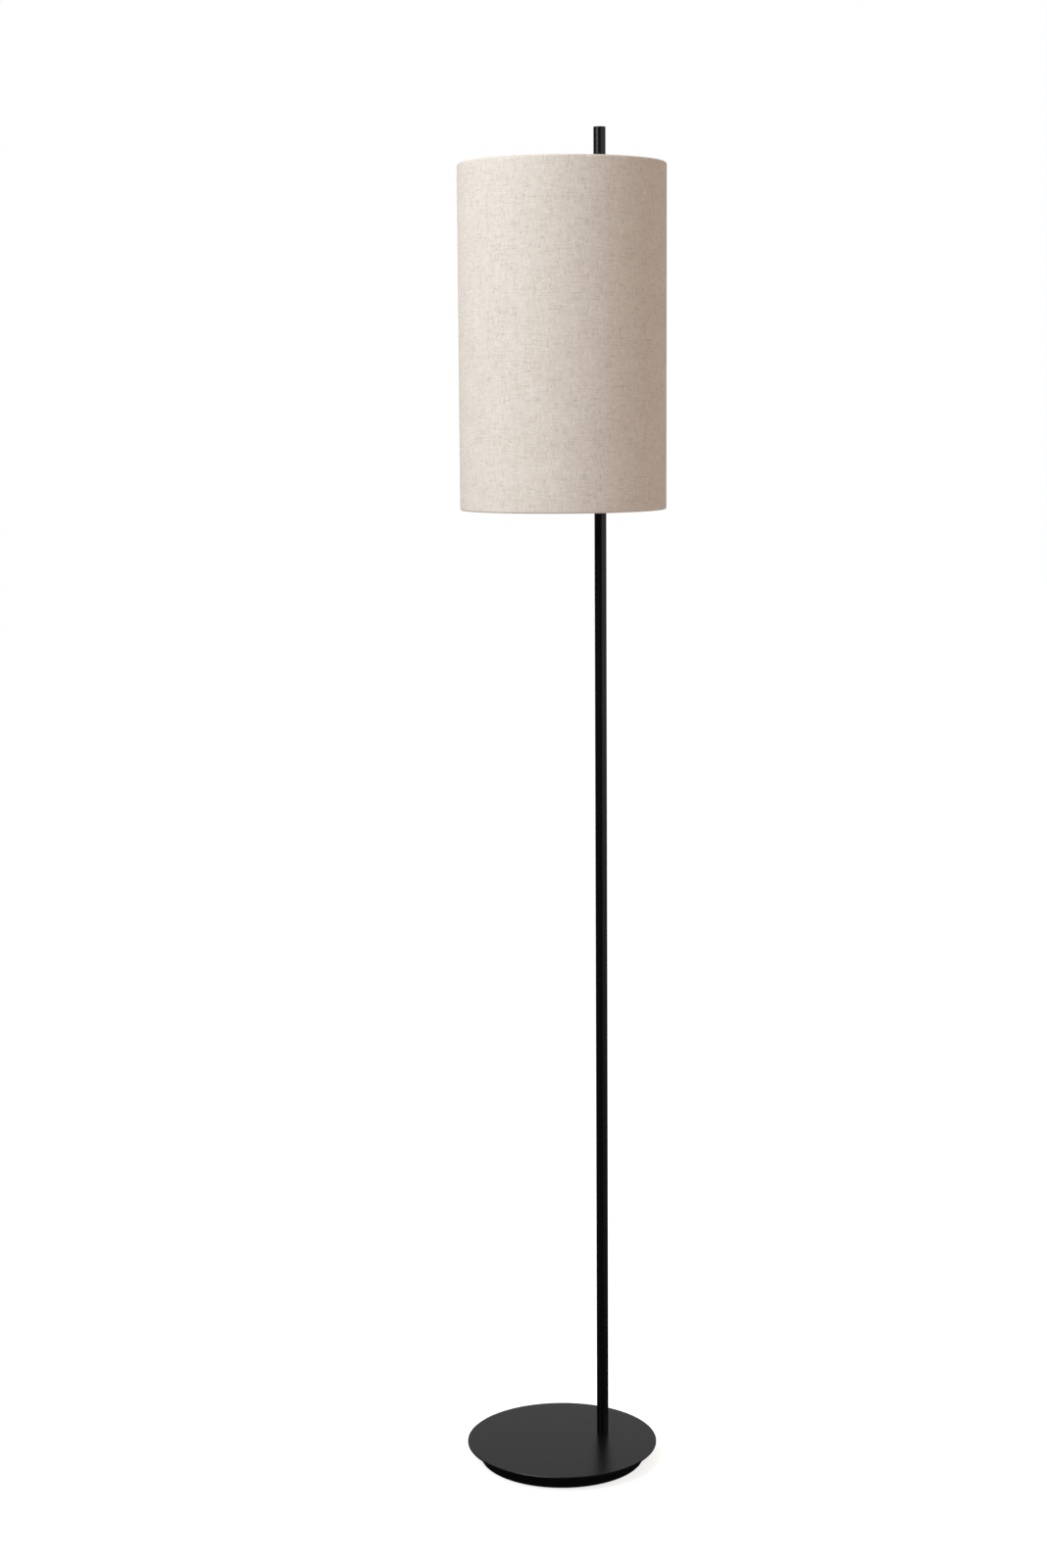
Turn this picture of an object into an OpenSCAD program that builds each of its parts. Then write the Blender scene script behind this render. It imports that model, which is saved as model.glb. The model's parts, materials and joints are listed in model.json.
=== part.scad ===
// Column floor lamp. A round plate base carries a slim pole that stands off centre.
// A tall drum shade hangs round the pole: a short arm inside it carries the lamp holder,
// and the shade's ring is clamped on the holder by a ring nut. The arm is a little shorter
// than the pole's distance from the axis of the base.
// Origin: on the floor, under the axis of shade and holder. +Z is up and the pole stands on +X.
// All sizes are in millimetres.

/* [Overall] */
// Height from the floor to the pole's top
total_h = 1600; // [1400:10:1800]
// Distance from the axis of the base to the pole
pole_offset = 56; // [50:1:66]
// Distance from the axis of shade and holder to the pole
arm_reach = 48.5; // [46:0.5:64]

/* [Base] */
// Diameter of the plate on top of the base
plate_d = 232; // [220:1:260]
// Thickness of the plate
plate_t = 2; // [1.5:0.1:3]
// Chamfer round the plate's edge
plate_chamfer = 0.4; // [0.2:0.1:0.6]
// Height of the plate's top face above the floor
base_h = 21; // [20.5:0.5:28]
// Outside diameter of the skirt below the plate
skirt_d = 200; // [194:1:212]
// Wall thickness of the skirt
skirt_wall = 2; // [1.2:0.1:2.5]
// Gap between the skirt's lower edge and the floor
skirt_lift = 1; // [0.5:0.1:2]
// Thickness of the felt ring that the lamp stands on
pad_t = 3; // [2.6:0.1:4]
// Width of the felt ring
pad_w = 22; // [12:1:24]
// Thickness of the bottom cover
cover_t = 1; // [0.6:0.1:1.5]
// Number of screws that hold the bottom cover
cover_screws_n = 4; // [4]
// Distance of the cover screws from the felt ring's inner edge
cover_screw_in = 11; // [7:1:15]
// Thread diameter of the cover screws
cover_screw_d = 4; // [3:0.5:4]
// Length of the cover screws' thread
cover_screw_len = 9; // [6:1:10]
// Number of weld studs that hold the ballast under the plate
stud_n = 3; // [3]
// Distance of the weld studs from the base's axis
stud_r = 50; // [46:1:54]
// Thread diameter of the weld studs
stud_d = 5; // [4:0.5:6]
// Length of the weld studs
stud_len = 11; // [10:0.5:12]
// Height of the nuts on the weld studs
stud_nut_h = 4; // [3:0.5:4.5]

/* [Pole] */
// Outside diameter of the pole, coating included
pole_d = 14.2; // [13.8:0.1:16]
// Wall thickness of the pole's tubes
pole_wall = 1; // [0.8:0.1:1.2]
// Chamfer at the ends of the tubes
tube_chamfer = 0.3; // [0.1:0.1:0.5]
// Length of the spigots that join the tubes
spigot_len = 50; // [40:1:60]
// Length of the threaded insert at the pole's foot
foot_insert_len = 24; // [20:1:40]
// Height of the nut below the plate
foot_nut_h = 3.2; // [3:0.1:3.5]
// Thickness of the washer below the plate
foot_washer_t = 1; // [0.8:0.1:1.2]
// Outside diameter of the washer below the plate
foot_washer_d = 24; // [20:1:26]
// Height of the plug's rim above the top tube
plug_rim = 1.5; // [1:0.1:3]
// Length of the plug's stem inside the top tube
plug_stem = 12; // [8:1:20]

/* [Flex] */
// Thickness of the flat flex
flex_t = 3.2; // [2.8:0.1:3.4]
// Width of the flat flex
flex_w = 5.2; // [4.8:0.1:5.6]
// Bend radius of the flex at its centre line
flex_bend_r = 6.5; // [6:0.1:6.8]
// Bore of the gland where the supply cord enters
gland_bore = 5.8; // [5:0.1:6.4]
// Diameter of the gland's barrel in the skirt
gland_d = 8; // [7.6:0.1:8.4]
// Diameter of the gland's outer flange
gland_flange_d = 11; // [10:0.1:12]
// Thickness of the gland's outer flange
gland_flange_t = 2.5; // [1.5:0.1:3]
// Distance of the cord grip's middle from the inside of the skirt
grip_in = 13; // [11:0.5:14]
// Length of the cord grip along the cord
grip_len = 9; // [8:0.5:10]
// Width of the cord grip across the cord
grip_w = 20; // [18:0.5:24]

/* [Arm and holder] */
// Outside diameter of the arm's tube and of the threaded nipples
nipple_d = 10; // [9.5:0.1:10]
// Bore of the threaded nipples
nipple_bore = 7; // [6:0.1:7.4]
// Wall thickness of the arm's tube
arm_wall = 1; // [0.8:0.1:1.2]
// Outside diameter of the collar that carries the arm
collar_d = 24; // [22:0.5:28]
// Height of the collar
collar_h = 24; // [20:1:30]
// Thread diameter of the collar's grub screws
grub_d = 4; // [3:0.5:5]
// Diameter of the hub below the lamp holder
hub_d = 22; // [20:0.5:26]
// Height of the hub
hub_h = 20; // [18:1:22]
// Distance from the arm's axis up to the hub's top
hub_above_arm = 11; // [10:0.5:12]
// Thickness of the fibre washer under the holder
fibre_t = 1; // [0.5:0.1:1.5]
// Outside diameter of the lamp holder and its thread
holder_d = 39; // [38:0.5:40]
// Height of the holder's cap
holder_cap_h = 20; // [18:1:24]
// Height of the holder's threaded shell above the cap
holder_shell_h = 42; // [40:1:46]
// Wall thickness of the holder's cap and shell
holder_wall = 2.2; // [1.8:0.1:2.4]
// Height of the insulating block inside the holder
insert_h = 12; // [10:0.5:14]
// Pitch of the holder's outer thread
ring_pitch = 2.5; // [2:0.25:3]
// Height of the seat ring's top above the holder's lower end
seat_rise = 38; // [34:1:42]
// Outside diameter of the seat ring and the ring nut
ring_d = 54; // [50:1:56]
// Height of the seat ring
seat_ring_h = 6; // [4:0.5:8]
// Height of the ring nut
ring_nut_h = 12; // [8:0.5:14]

/* [Bulb] */
// Length of the tube bulb with its cap
bulb_len = 185; // [140:5:225]
// Diameter of the tube bulb
bulb_d = 30; // [28:0.5:32]
// Thickness of the bulb's glass
bulb_wall = 0.8; // [0.6:0.1:1.2]
// Diameter over the thread of the bulb's cap
bulb_cap_d = 26.4; // [26:0.1:26.4]
// Pitch of the bulb's thread
bulb_pitch = 3.629; // [3.629]
// Height of the bulb's cap
bulb_cap_h = 27; // [26:0.5:30]
// Number of light strips in the bulb
strips_n = 4; // [2:1:6]
// Length of the light strips
strip_len = 90; // [60:5:110]

/* [Shade] */
// Outside diameter of the shade
shade_d = 241; // [230:1:260]
// Height of the shade
shade_h = 395; // [360:5:430]
// Height of the pole above the shade's top
pole_stub = 43; // [30:1:60]
// Thickness of the shade's cloth
cloth_t = 0.6; // [0.4:0.1:0.8]
// Thickness of the shade's plastic liner
liner_t = 0.4; // [0.3:0.1:0.6]
// Diameter of the wire in the shade's two hoops
hoop_wire_d = 3.6; // [3:0.1:4]
// Diameter of the wire of the spider's arms
arm_wire_d = 3.5; // [3:0.1:4]
// Number of arms of the spider
spider_arms_n = 3; // [3]
// Radius of the bend in each arm at its centre line
arm_bend_r = 10; // [6:0.5:20]
// Height of the spider's ring above the shade's lower edge
spider_rise = 96; // [90:1:120]
// Bore of the spider's ring
spider_ring_bore = 40.6; // [40.6:0.1:42]
// Outside diameter of the spider's ring
spider_ring_d = 68; // [62:1:74]
// Thickness of the spider's ring
spider_ring_t = 1.5; // [1:0.1:2]

/* [Fits] */
// Gap between pieces that are fixed together
fit_gap = 0.1; // [0.05:0.01:0.15]
// Gap between pieces that turn or slide past each other
run_gap = 0.3; // [0.25:0.01:0.4]
// Gap between glued layers
glue_gap = 0.05; // [0.02:0.01:0.1]
// Depth that welded wires sink into each other
weld_in = 0.4; // [0.2:0.1:0.6]

/* [Hidden] */
$fn = 96;
over = 1;             // how far a cutting shape reaches past the face it cuts

// Places along X
pole_x = arm_reach;
base_x = pole_x - pole_offset;

// Base, from the floor up
pole_r = pole_d / 2;
pole_in_r = pole_r - pole_wall;
plate_z0 = base_h - plate_t;
skirt_r = skirt_d / 2;
skirt_in_r = skirt_r - skirt_wall;
cover_z0 = pad_t;
ballast_z0 = cover_z0 + cover_t;
ballast_gap = 0.5;    // round the ballast and the cover, inside the skirt
ballast_r = skirt_in_r - ballast_gap;
pad_edge = 1;         // between the felt ring and the skirt
pad_r = skirt_in_r - pad_edge;
cover_screw_r = pad_r - pad_w - cover_screw_in;
stud_first = 60;      // direction of the first weld stud, in degrees
screw_first = 45;     // direction of the first cover screw, in degrees
stud_pocket_r = stud_d * 1.3 + 1;
stud_z0 = plate_z0 - stud_len;
stud_nut_z1 = stud_z0 + stud_nut_h + over;
stud_nut_flats = stud_d * 1.6;
cover_head_d = cover_screw_d * 1.8;
cover_head_h = 1.6;

// Foot of the pole: the stud ends just below its nut, and the flex turns away there
thread_r = nipple_d / 2;
stud_out = 0.3;       // how far the foot stud shows below its nut
foot_nut_z1 = plate_z0 - foot_washer_t;
foot_stud_z0 = foot_nut_z1 - foot_nut_h - stud_out;
foot_stud_in = 20;    // length of the foot stud inside the pole
cord_z = foot_stud_z0 - flex_bend_r;
channel_z1 = cord_z + flex_t / 2 + fit_gap * 2;
channel_w = 8;
foot_well_r = foot_washer_d / 2 + 3;

// Gland and cord grip
gland_in = 2.5;       // length of the gland behind the skirt
gland_ears_w = gland_d + 2;
gland_ears_h = gland_d / 2;
gland_room = 1;       // room round the gland behind the skirt
grip_x = skirt_in_r - grip_in;
grip_z0 = ballast_z0 + fit_gap * 3;
grip_room = 1;        // room round the cord grip in its pocket
grip_screw_d = 3;
grip_screw_head_d = 5.4;
grip_screw_head_h = 2;
grip_screw_len = 9;
grip_screw_y = grip_w / 2 - 4;
grip_head_z0 = grip_z0 + fit_gap * 3;

// Shade and head, from the top down
shade_r = shade_d / 2;
shade_z1 = total_h - pole_stub;
shade_z0 = shade_z1 - shade_h;
seat_z = shade_z0 + spider_rise;
holder_z0 = seat_z - seat_rise;
holder_r = holder_d / 2;
hub_z1 = holder_z0 - fibre_t;
arm_z = hub_z1 - hub_above_arm;
hub_r = hub_d / 2;
hub_in_x = thread_r + fit_gap + 0.4;    // where the arm's tube ends inside the hub
collar_r = collar_d / 2;
arm_in_r = thread_r - arm_wall;
arm_x1 = pole_x - pole_r - fit_gap * 2;
grub_pitch = collar_h / 2;
block_z0 = holder_z0 + holder_cap_h;
block_z1 = block_z0 + insert_h;
shell_z1 = block_z0 + holder_shell_h;
block_r = holder_r - holder_wall;
sleeve_r = bulb_cap_d / 2 + run_gap;    // inside of the screw sleeve
sleeve_t = 0.6;
shell_in_r = sleeve_r + sleeve_t + 1;
thread_depth = 0.7;
cap_neck_r = 8.5;     // neck of the holder's cap
cap_neck_h = 4;
cap_floor_h = 8;      // threaded floor of the holder's cap
nipple_z0 = arm_z + hub_above_arm - flex_bend_r;
nipple_z1 = holder_z0 + cap_floor_h;
contact_h = 1;        // height of the sprung centre contact above its block
contact_t = 0.4;
contact_w = 6;
contact_len = 18;

// Pole joints: the upper one is hidden in the shade, the lower one is halfway below it
joint_gap = 5;        // between the upper spigot and the bend of the flex
upper_joint_z = arm_z - flex_bend_r - joint_gap - spigot_len / 2;
lower_joint_z = (base_h + upper_joint_z) / 2;
plug_z0 = total_h - plug_rim;
spigot_bore_r = nipple_bore / 2;

// Bulb
bulb_z0 = block_z1 + contact_h + run_gap;
bulb_r = bulb_d / 2;
bulb_tip_h = 2.2;
bulb_tip_r = 4.8;
insulator_h = 2.5;
bulb_cap_z0 = bulb_z0 + bulb_tip_h;
bulb_cap_z1 = bulb_cap_z0 + bulb_cap_h;
bulb_thread_r = 0.9;  // radius of the rounded thread on the bulb's cap
bulb_core_r = bulb_cap_d / 2 - bulb_thread_r;
bulb_cup_t = 0.6;     // wall of the bulb's cap at its thread's root
bulb_neck_r = bulb_core_r - bulb_cup_t - fit_gap;
bulb_neck_in = 18;    // length of the glass neck inside the cap
bulb_shoulder_h = 8;
bulb_z1 = bulb_z0 + bulb_len;
stem_r = 2.5;
stem_h = 40;
stem_top_r = 7.5;
stem_top_t = 1.5;
strip_d = 1.8;
strip_ring_r = 5.8;

// Shade frame and cloth
wire_r = hoop_wire_d / 2;
wrap_in_r = wire_r + glue_gap;
wrap_r = wrap_in_r + cloth_t;
hoop_r = shade_r - wrap_r;
top_hoop_z = shade_z1 - wrap_r;
bottom_hoop_z = shade_z0 + wrap_r;
liner_r = shade_r - cloth_t - glue_gap;
arm_wire_r = arm_wire_d / 2;
leg_r = hoop_r - wire_r - arm_wire_r + weld_in;
arm_wire_z = seat_z + spider_ring_t + arm_wire_r - weld_in;
arm_first = 60;       // direction of the spider's first arm, in degrees
arm_on_ring = 4;      // length of each arm that lies on the spider's ring
leg_z0 = bottom_hoop_z - wire_r / 2;
notch_gap = 0.3;      // round each arm, where it passes the rolled hem

// A straight round bar along Z
module bar(r, z0, z1) {
    translate([0, 0, z0])
        cylinder(r = r, h = z1 - z0);
}

// A straight tube along Z
module pipe(r, r_in, z0, z1) {
    difference() {
        bar(r, z0, z1);
        bar(r_in, z0 - over, z1 + over);
    }
}

// A straight round bar along X, on the plane of the pole, at height z
module bar_x(r, x0, x1, z) {
    translate([x0, 0, z])
        rotate([0, 90, 0])
            cylinder(r = r, h = x1 - x0);
}

// Copies placed round the axis
module around(n, radius, first) {
    for (i = [0 : n - 1])
        rotate([0, 0, first + i * 360 / n])
            translate([radius, 0, 0])
                children();
}

// Moves a piece onto the pole's axis
module on_pole() {
    translate([pole_x, 0, 0])
        children();
}

// Moves a piece of the base onto the base's axis
module on_base() {
    translate([base_x, 0, 0])
        children();
}

// Moves a cut in the base to the pole's place on it
module at_pole_on_base() {
    translate([pole_offset, 0, 0])
        children();
}

// A hexagonal nut with its bore
module hex_nut(flats, bore_r, z0, z1) {
    difference() {
        translate([0, 0, z0])
            cylinder(r = flats / sqrt(3), h = z1 - z0, $fn = 6);
        bar(bore_r, z0 - over, z1 + over);
    }
}

// A disc with chamfered rims
module chamfered_disc(r, z0, z1, c) {
    rotate_extrude()
        polygon([[0, z0], [r - c, z0], [r, z0 + c], [r, z1 - c], [r - c, z1], [0, z1]]);
}

// One pole tube with chamfered ends
module pole_tube(z0, z1) {
    c = tube_chamfer;
    on_pole()
        rotate_extrude()
            polygon([[pole_in_r, z0], [pole_r - c, z0], [pole_r, z0 + c],
                [pole_r, z1 - c], [pole_r - c, z1], [pole_in_r, z1]]);
}

// The flex's flat section: thin across the bend, wide along Y
module flex_section() {
    side = (flex_w - flex_t) / 2;
    square([flex_t, 2 * side], center = true);
    for (y = [-side, side])
        translate([0, y])
            circle(d = flex_t, $fn = 32);
}

module flex_up(x, z0, z1) {
    translate([x, 0, z0])
        linear_extrude(z1 - z0)
            flex_section();
}

module flex_along(x0, x1, z) {
    translate([x0, 0, z])
        rotate([0, 90, 0])
            linear_extrude(x1 - x0)
                flex_section();
}

// A quarter turn of the flex in the plane of the pole, from direction a to a + 90 degrees
module flex_turn(x, z, a) {
    translate([x, 0, z])
        rotate([0, -a, 0])
            rotate([90, 0, 0])
                rotate_extrude(angle = 90)
                    translate([flex_bend_r, 0])
                        flex_section();
}

// ---- Base ----

module foot_pad() {
    color("dimgray")
        on_base()
            pipe(pad_r, pad_r - pad_w, 0, pad_t);
}

// Notch at the rim of the ballast and the cover, round the gland
module gland_notch(z0, z1) {
    translate([skirt_in_r - gland_in - gland_room, -gland_ears_w / 2 - gland_room, z0])
        cube([gland_in + 2 * gland_room, gland_ears_w + 2 * gland_room, z1 - z0]);
}

module bottom_cover() {
    color("black")
        on_base()
            difference() {
                bar(ballast_r, cover_z0, ballast_z0);
                gland_notch(cover_z0 - over, ballast_z0 + over);
                around(cover_screws_n, cover_screw_r, screw_first)
                    bar(cover_screw_d / 2 + run_gap, cover_z0 - over, ballast_z0 + over);
            }
}

module cover_screws() {
    color("dimgray")
        on_base()
            around(cover_screws_n, cover_screw_r, screw_first) {
                bar(cover_screw_d / 2, cover_z0, cover_z0 + cover_screw_len);
                chamfered_disc(cover_head_d / 2, cover_z0 - cover_head_h, cover_z0, cover_head_h / 4);
            }
}

module ballast() {
    color("dimgray")
        on_base()
            difference() {
                bar(ballast_r, ballast_z0, plate_z0);
                // well for the nut and washer at the pole's foot
                at_pole_on_base()
                    bar(foot_well_r, ballast_z0 - over, plate_z0 + over);
                // channel from the well to the rim, for the cord
                translate([pole_offset, -channel_w / 2, ballast_z0 - over])
                    cube([ballast_r, channel_w, channel_z1 - ballast_z0 + over]);
                // pocket for the cord grip
                translate([grip_x - grip_len / 2 - grip_room, -grip_w / 2 - grip_room, ballast_z0 - over])
                    cube([grip_len + 2 * grip_room, grip_w + 2 * grip_room,
                        channel_z1 - ballast_z0 + over]);
                for (side = [-1, 1])
                    translate([grip_x, side * grip_screw_y, 0])
                        bar(grip_screw_d / 2 + fit_gap, channel_z1 - over, grip_head_z0 + grip_screw_head_h
                            + grip_screw_len + over);
                gland_notch(ballast_z0 - over, cord_z + gland_d / 2 + gland_room);
                // weld studs and their nuts
                around(stud_n, stud_r, stud_first) {
                    bar(stud_d / 2 + run_gap, ballast_z0 - over, plate_z0 + over);
                    bar(stud_pocket_r, ballast_z0 - over, stud_nut_z1);
                }
                // threads for the cover screws
                around(cover_screws_n, cover_screw_r, screw_first)
                    bar(cover_screw_d / 2 + fit_gap, ballast_z0 - over, cover_z0 + cover_screw_len + over);
            }
}

module ballast_nuts() {
    color("silver")
        on_base()
            around(stud_n, stud_r, stud_first)
                hex_nut(stud_nut_flats, stud_d / 2 + fit_gap, stud_nut_z1 - stud_nut_h, stud_nut_z1);
}

module weld_studs() {
    color("silver")
        on_base()
            around(stud_n, stud_r, stud_first)
                bar(stud_d / 2, stud_z0, plate_z0);
}

module base_skirt() {
    color([0.06, 0.06, 0.065])
        on_base()
            difference() {
                pipe(skirt_r, skirt_in_r, skirt_lift, plate_z0);
                bar_x(gland_d / 2 + fit_gap, skirt_in_r - over * 3, skirt_r + over, cord_z);
            }
}

module base_plate() {
    color([0.07, 0.07, 0.075])
        on_base()
            difference() {
                chamfered_disc(plate_d / 2, plate_z0, base_h, plate_chamfer);
                at_pole_on_base()
                    bar(thread_r + run_gap, plate_z0 - over, base_h + over);
            }
}

module cord_gland() {
    color([0.09, 0.09, 0.09])
        on_base()
            difference() {
                union() {
                    bar_x(gland_d / 2, skirt_in_r - gland_in, skirt_r + gland_flange_t, cord_z);
                    // snap ears behind the skirt
                    translate([skirt_in_r - gland_in, -gland_ears_w / 2, cord_z - gland_ears_h / 2])
                        cube([gland_in - run_gap, gland_ears_w, gland_ears_h]);
                    bar_x(gland_flange_d / 2, skirt_r + fit_gap,
                        skirt_r + fit_gap + gland_flange_t, cord_z);
                }
                bar_x(gland_bore / 2, skirt_in_r - gland_in - over,
                    skirt_r + gland_flange_t + over, cord_z);
            }
}

module cord_grip() {
    slot_w = flex_w + 2 * fit_gap;
    slot_z0 = cord_z - flex_t / 2 - fit_gap;
    color("ivory")
        on_base()
            difference() {
                translate([grip_x - grip_len / 2, -grip_w / 2, grip_z0])
                    cube([grip_len, grip_w, channel_z1 - grip_z0]);
                translate([grip_x - grip_len / 2 - over, -slot_w / 2, slot_z0])
                    cube([grip_len + 2 * over, slot_w, channel_z1]);
                for (side = [-1, 1])
                    translate([grip_x, side * grip_screw_y, 0]) {
                        bar(grip_screw_d / 2 + fit_gap, grip_z0 - over, channel_z1 + over);
                        bar(grip_screw_head_d / 2 + fit_gap, grip_z0 - over,
                            grip_head_z0 + grip_screw_head_h);
                    }
            }
}

module grip_screws() {
    color("silver")
        on_base()
            for (side = [-1, 1])
                translate([grip_x, side * grip_screw_y, 0]) {
                    bar(grip_screw_head_d / 2, grip_head_z0, grip_head_z0 + grip_screw_head_h);
                    bar(grip_screw_d / 2, grip_head_z0, grip_head_z0 + grip_screw_head_h + grip_screw_len);
                }
}

// ---- Pole ----

module foot_nut() {
    color("silver")
        on_pole()
            hex_nut(nipple_d * 1.4, thread_r + fit_gap, foot_nut_z1 - foot_nut_h, foot_nut_z1);
}

module foot_washer() {
    color("silver")
        on_pole()
            pipe(foot_washer_d / 2, thread_r + run_gap, foot_nut_z1, plate_z0);
}

module foot_stud() {
    color("silver")
        on_pole()
            pipe(thread_r, nipple_bore / 2, foot_stud_z0, base_h + foot_stud_in);
}

module foot_insert() {
    color("silver")
        on_pole()
            pipe(pole_in_r - fit_gap, thread_r + fit_gap, base_h, base_h + foot_insert_len);
}

module lower_tube() {
    color([0.05, 0.05, 0.055])
        pole_tube(base_h, lower_joint_z);
}

module lower_spigot() {
    color("silver")
        on_pole()
            pipe(pole_in_r - fit_gap, spigot_bore_r, lower_joint_z - spigot_len / 2,
                lower_joint_z + spigot_len / 2);
}

module middle_tube() {
    color([0.05, 0.05, 0.055])
        pole_tube(lower_joint_z, upper_joint_z);
}

module upper_spigot() {
    color("silver")
        on_pole()
            pipe(pole_in_r - fit_gap, spigot_bore_r, upper_joint_z - spigot_len / 2,
                upper_joint_z + spigot_len / 2);
}

module upper_tube() {
    color([0.05, 0.05, 0.055])
        difference() {
            pole_tube(upper_joint_z, plug_z0);
            // hole that leads the flex into the arm
            bar_x(arm_in_r, pole_x - pole_r - over, pole_x, arm_z);
        }
}

module top_plug() {
    c = tube_chamfer;
    color([0.05, 0.05, 0.055])
        on_pole()
            rotate_extrude()
                polygon([[0, plug_z0 - plug_stem], [pole_in_r - fit_gap, plug_z0 - plug_stem],
                    [pole_in_r - fit_gap, plug_z0], [pole_r, plug_z0],
                    [pole_r, total_h - c], [pole_r - c, total_h], [0, total_h]]);
}

// Flat flex from the cord grip, up the pole and along the arm to the holder's block
module inner_flex() {
    r = flex_bend_r;
    color("white") {
        flex_along(pole_x + r, base_x + grip_x + grip_len / 2, cord_z);
        flex_turn(pole_x + r, foot_stud_z0, 180);
        flex_up(pole_x, foot_stud_z0, arm_z - r);
        flex_turn(pole_x - r, arm_z - r, 0);
        flex_along(r, pole_x - r, arm_z);
        flex_turn(r, arm_z + r, 180);
        flex_up(0, arm_z + r, block_z0);
    }
}

// ---- Arm and lamp holder ----

module arm_collar() {
    color([0.05, 0.05, 0.055])
        difference() {
            on_pole()
                chamfered_disc(collar_r, arm_z - collar_h / 2, arm_z + collar_h / 2, plate_chamfer);
            on_pole()
                bar(pole_r + fit_gap, arm_z - collar_h, arm_z + collar_h);
            bar_x(thread_r + fit_gap, pole_x - collar_r - over, pole_x, arm_z);
            for (dz = [-grub_pitch / 2, grub_pitch / 2])
                bar_x(grub_d / 2 + fit_gap, pole_x, pole_x + collar_r + over, arm_z + dz);
        }
}

module grub_screws() {
    color("dimgray")
        for (dz = [-grub_pitch / 2, grub_pitch / 2])
            bar_x(grub_d / 2, pole_x + pole_r + fit_gap, pole_x + collar_r - fit_gap, arm_z + dz);
}

module arm_tube() {
    color([0.05, 0.05, 0.055])
        difference() {
            bar_x(thread_r, hub_in_x, arm_x1, arm_z);
            bar_x(arm_in_r, hub_in_x - over, arm_x1 + over, arm_z);
        }
}

module arm_hub() {
    color([0.05, 0.05, 0.055])
        difference() {
            chamfered_disc(hub_r, hub_z1 - hub_h, hub_z1, plate_chamfer);
            bar_x(thread_r + fit_gap, hub_in_x, hub_r + over, arm_z);
            // way for the flex
            bar_x(arm_in_r, 0, hub_r, arm_z);
            bar(arm_in_r, arm_z, hub_z1);
            bar(thread_r + fit_gap, nipple_z0, hub_z1 + over);
        }
}

module holder_nipple() {
    color("silver")
        pipe(thread_r, nipple_bore / 2, nipple_z0, nipple_z1);
}

module fibre_washer() {
    color("sienna")
        pipe(cap_neck_r, thread_r + run_gap, hub_z1, holder_z0);
}

module holder_cap() {
    flare_z = holder_z0 + cap_neck_h;
    wall = holder_wall;
    rim_z = block_z0 - cap_neck_h;
    color([0.07, 0.07, 0.07])
        rotate_extrude()
            polygon([[thread_r + fit_gap, holder_z0], [cap_neck_r, holder_z0], [cap_neck_r, flare_z],
                [holder_r * 0.8, flare_z + cap_neck_h], [holder_r, rim_z], [holder_r, block_z0],
                [holder_r - wall, block_z0], [holder_r - wall, rim_z],
                [holder_r * 0.8 - wall, holder_z0 + cap_floor_h],
                [thread_r + fit_gap, holder_z0 + cap_floor_h]]);
}

module holder_block() {
    color("ivory")
        bar(block_r - fit_gap, block_z0, block_z1);
}

// Sprung centre contact: a strip with a raised middle
module centre_contact() {
    half = contact_len / 2;
    color("gold")
        translate([0, contact_w / 2, block_z1])
            rotate([90, 0, 0])
                linear_extrude(contact_w)
                    polygon([[-half, 0], [-half / 2, 0], [-half / 4, contact_h - contact_t],
                        [half / 4, contact_h - contact_t], [half / 2, 0], [half, 0], [half, contact_t],
                        [half / 2, contact_t], [half / 4, contact_h], [-half / 4, contact_h],
                        [-half / 2, contact_t], [-half, contact_t]]);
}

module thread_sleeve() {
    color("gold")
        pipe(sleeve_r + sleeve_t, sleeve_r, block_z1, shell_z1 - over * 2);
}

// Points of a ridged outline, from z0 up to z1, at radius r with its roots one depth inside
function ridges(r, depth, pitch, z0, z1) = [
    for (i = [0 : floor((z1 - z0) / pitch) - 1])
        for (p = [[r - depth, 0.1], [r - depth, 0.3], [r, 0.5], [r, 0.8]])
            [p[0], z0 + (i + p[1]) * pitch]
];

module holder_shell() {
    plain_h = 5;
    color([0.07, 0.07, 0.07])
        rotate_extrude()
            polygon(concat(
                [[block_r, block_z0], [holder_r, block_z0], [holder_r, block_z0 + plain_h]],
                ridges(holder_r, thread_depth, ring_pitch, block_z0 + plain_h, shell_z1 - over),
                [[holder_r - thread_depth, shell_z1], [shell_in_r, shell_z1],
                    [shell_in_r, block_z1], [block_r, block_z1]]));
}

module seat_ring() {
    flange_h = seat_ring_h / 2;
    color([0.07, 0.07, 0.07])
        difference() {
            union() {
                bar(ring_d / 2, seat_z - flange_h, seat_z);
                bar(ring_d / 2 - 3, seat_z - seat_ring_h, seat_z);
            }
            bar(holder_r + fit_gap, seat_z - seat_ring_h - over, seat_z + over);
        }
}

// Ring nut: a flange that presses on the spider's ring, and a fluted grip above it
module ring_nut() {
    nut_z0 = seat_z + spider_ring_t;
    nut_z1 = nut_z0 + ring_nut_h;
    flange_h = ring_nut_h / 4;
    flutes = 18;
    color([0.07, 0.07, 0.07])
        difference() {
            union() {
                bar(ring_d / 2, nut_z0, nut_z0 + flange_h);
                chamfered_disc(ring_d / 2 - 2, nut_z0, nut_z1, plate_chamfer);
            }
            bar(holder_r + run_gap, nut_z0 - over, nut_z1 + over);
            around(flutes, ring_d / 2 - 1, 0)
                bar(2, nut_z0 + flange_h, nut_z1 + over);
        }
}

// ---- Bulb ----

module bulb_contact() {
    color("silver")
        rotate_extrude()
            polygon([[0, bulb_z0], [bulb_tip_r / 2, bulb_z0], [bulb_tip_r, bulb_z0 + bulb_tip_h / 2],
                [bulb_tip_r, bulb_cap_z0], [0, bulb_cap_z0]]);
}

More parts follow.
